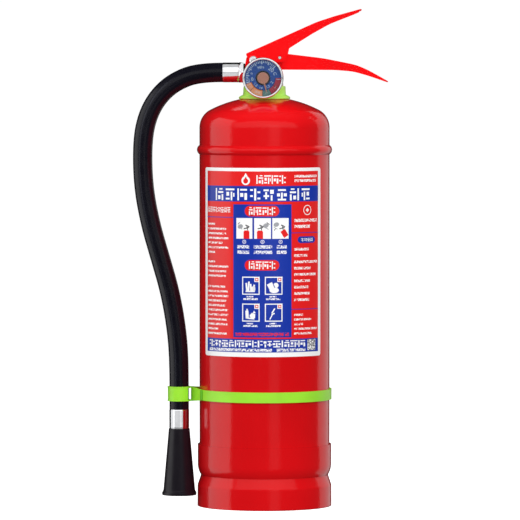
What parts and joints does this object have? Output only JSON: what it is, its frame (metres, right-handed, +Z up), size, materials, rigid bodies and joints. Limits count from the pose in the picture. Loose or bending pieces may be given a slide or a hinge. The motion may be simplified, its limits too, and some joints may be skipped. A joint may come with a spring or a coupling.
{
  "type": "fire extinguisher",
  "caption": "Portable dry powder fire extinguisher with a squeeze lever, carrying handle, pressure gauge, safety pin, hose, flared nozzle and strap clip.",
  "frame": {"origin": "centre of the base on the floor, on the cylinder's axis", "axes": "+Z up along the cylinder's axis, -Y towards the front where the gauge faces, +X towards the handles, hose and nozzle on -X"},
  "size_m": [0.2548, 0.135, 0.4968],
  "materials": {
    "body_paint": "gloss",
    "handle_paint": "gloss",
    "green_plastic": "satin",
    "brass": "satin",
    "chrome": "polished",
    "steel": "satin",
    "spring_steel": "satin",
    "hose_rubber": "satin",
    "seal_rubber": "matt",
    "black_plastic": "satin",
    "pale_plastic": "satin",
    "powder": "powdery",
    "clear_lens": "polished",
    "dial_blue": "printed",
    "dial_orange": "printed",
    "dial_green": "printed",
    "dial_red": "printed",
    "copper": "satin",
    "label_white": "printed film",
    "label_blue": "printed film",
    "label_red": "printed film",
    "label_dark": "printed film"
  },
  "bodies": {
    "extinguisher": {"body_tube": "body_paint", "top_head": "body_paint", "shoulder_bead": "body_paint", "bottom_head": "body_paint", "foot_ring": "body_paint", "neck_ring": "steel", "neck_o_ring": "seal_rubber", "neck_collar": "green_plastic", "valve_body": "brass", "gland_nut": "brass", "stem_o_ring": "seal_rubber", "return_spring": "spring_steel", "siphon_adaptor": "pale_plastic", "siphon_tube": "pale_plastic", "powder_charge": "powder", "carrying_handle": "handle_paint", "handle_screws": "steel", "hinge_rivet": "chrome", "gauge_case": "chrome", "gauge_gasket": "seal_rubber", "gauge_bezel": "chrome", "gauge_lens": "clear_lens", "gauge_dial": "dial_blue", "gauge_post": "brass", "gauge_bourdon_tube": "copper", "hose_gasket": "seal_rubber", "hose_coupling": "chrome", "upper_ferrule": "chrome", "hose": "hose_rubber", "lower_ferrule": "chrome", "nozzle_tail": "brass", "nozzle_horn": "black_plastic", "strap_band": "green_plastic", "hose_clip": "green_plastic", "label_sheet": "label_white"},
    "squeeze_lever": {"squeeze_lever": "handle_paint"},
    "valve_stem": {"valve_stem": "steel", "piston_seal": "seal_rubber"},
    "safety_pin": {"safety_pin": "chrome"},
    "pull_ring": {"pull_ring": "chrome"},
    "gauge_pointer": {"gauge_pointer": "copper"}
  },
  "joints": [
    {"name": "lever_squeeze", "type": "hinge", "parent": "extinguisher", "child": "squeeze_lever", "pos_m": [-0.0112, 0, 0.446], "axis": [0, 1, 0], "range_deg": [0, 16], "stiffness_Nm_per_rad": 0.54, "springref_deg": -17.19},
    {"name": "stem_press", "type": "slide", "parent": "extinguisher", "child": "valve_stem", "axis": [0, 0, -1], "range_m": [0, 0.0038], "deforming": ["return_spring"]},
    {"name": "pin_pull", "type": "slide", "parent": "squeeze_lever", "child": "safety_pin", "axis": [0, 1, 0], "range_m": [0, 0.04]},
    {"name": "ring_swing", "type": "hinge", "parent": "safety_pin", "child": "pull_ring", "pos_m": [0.0152, 0.0295, 0.4482], "axis": [1, 0, 0], "range_deg": [0, 90]},
    {"name": "pointer_turn", "type": "hinge", "parent": "extinguisher", "child": "gauge_pointer", "pos_m": [-0.0015, -0.036, 0.4281], "axis": [0, -1, 0], "range_deg": [-84, 76], "stiffness_Nm_per_rad": 0.002}
  ],
  "couplings": [
    {"joint": "stem_press", "follows": "lever_squeeze", "m_per_rad": 0.01337}
  ]
}
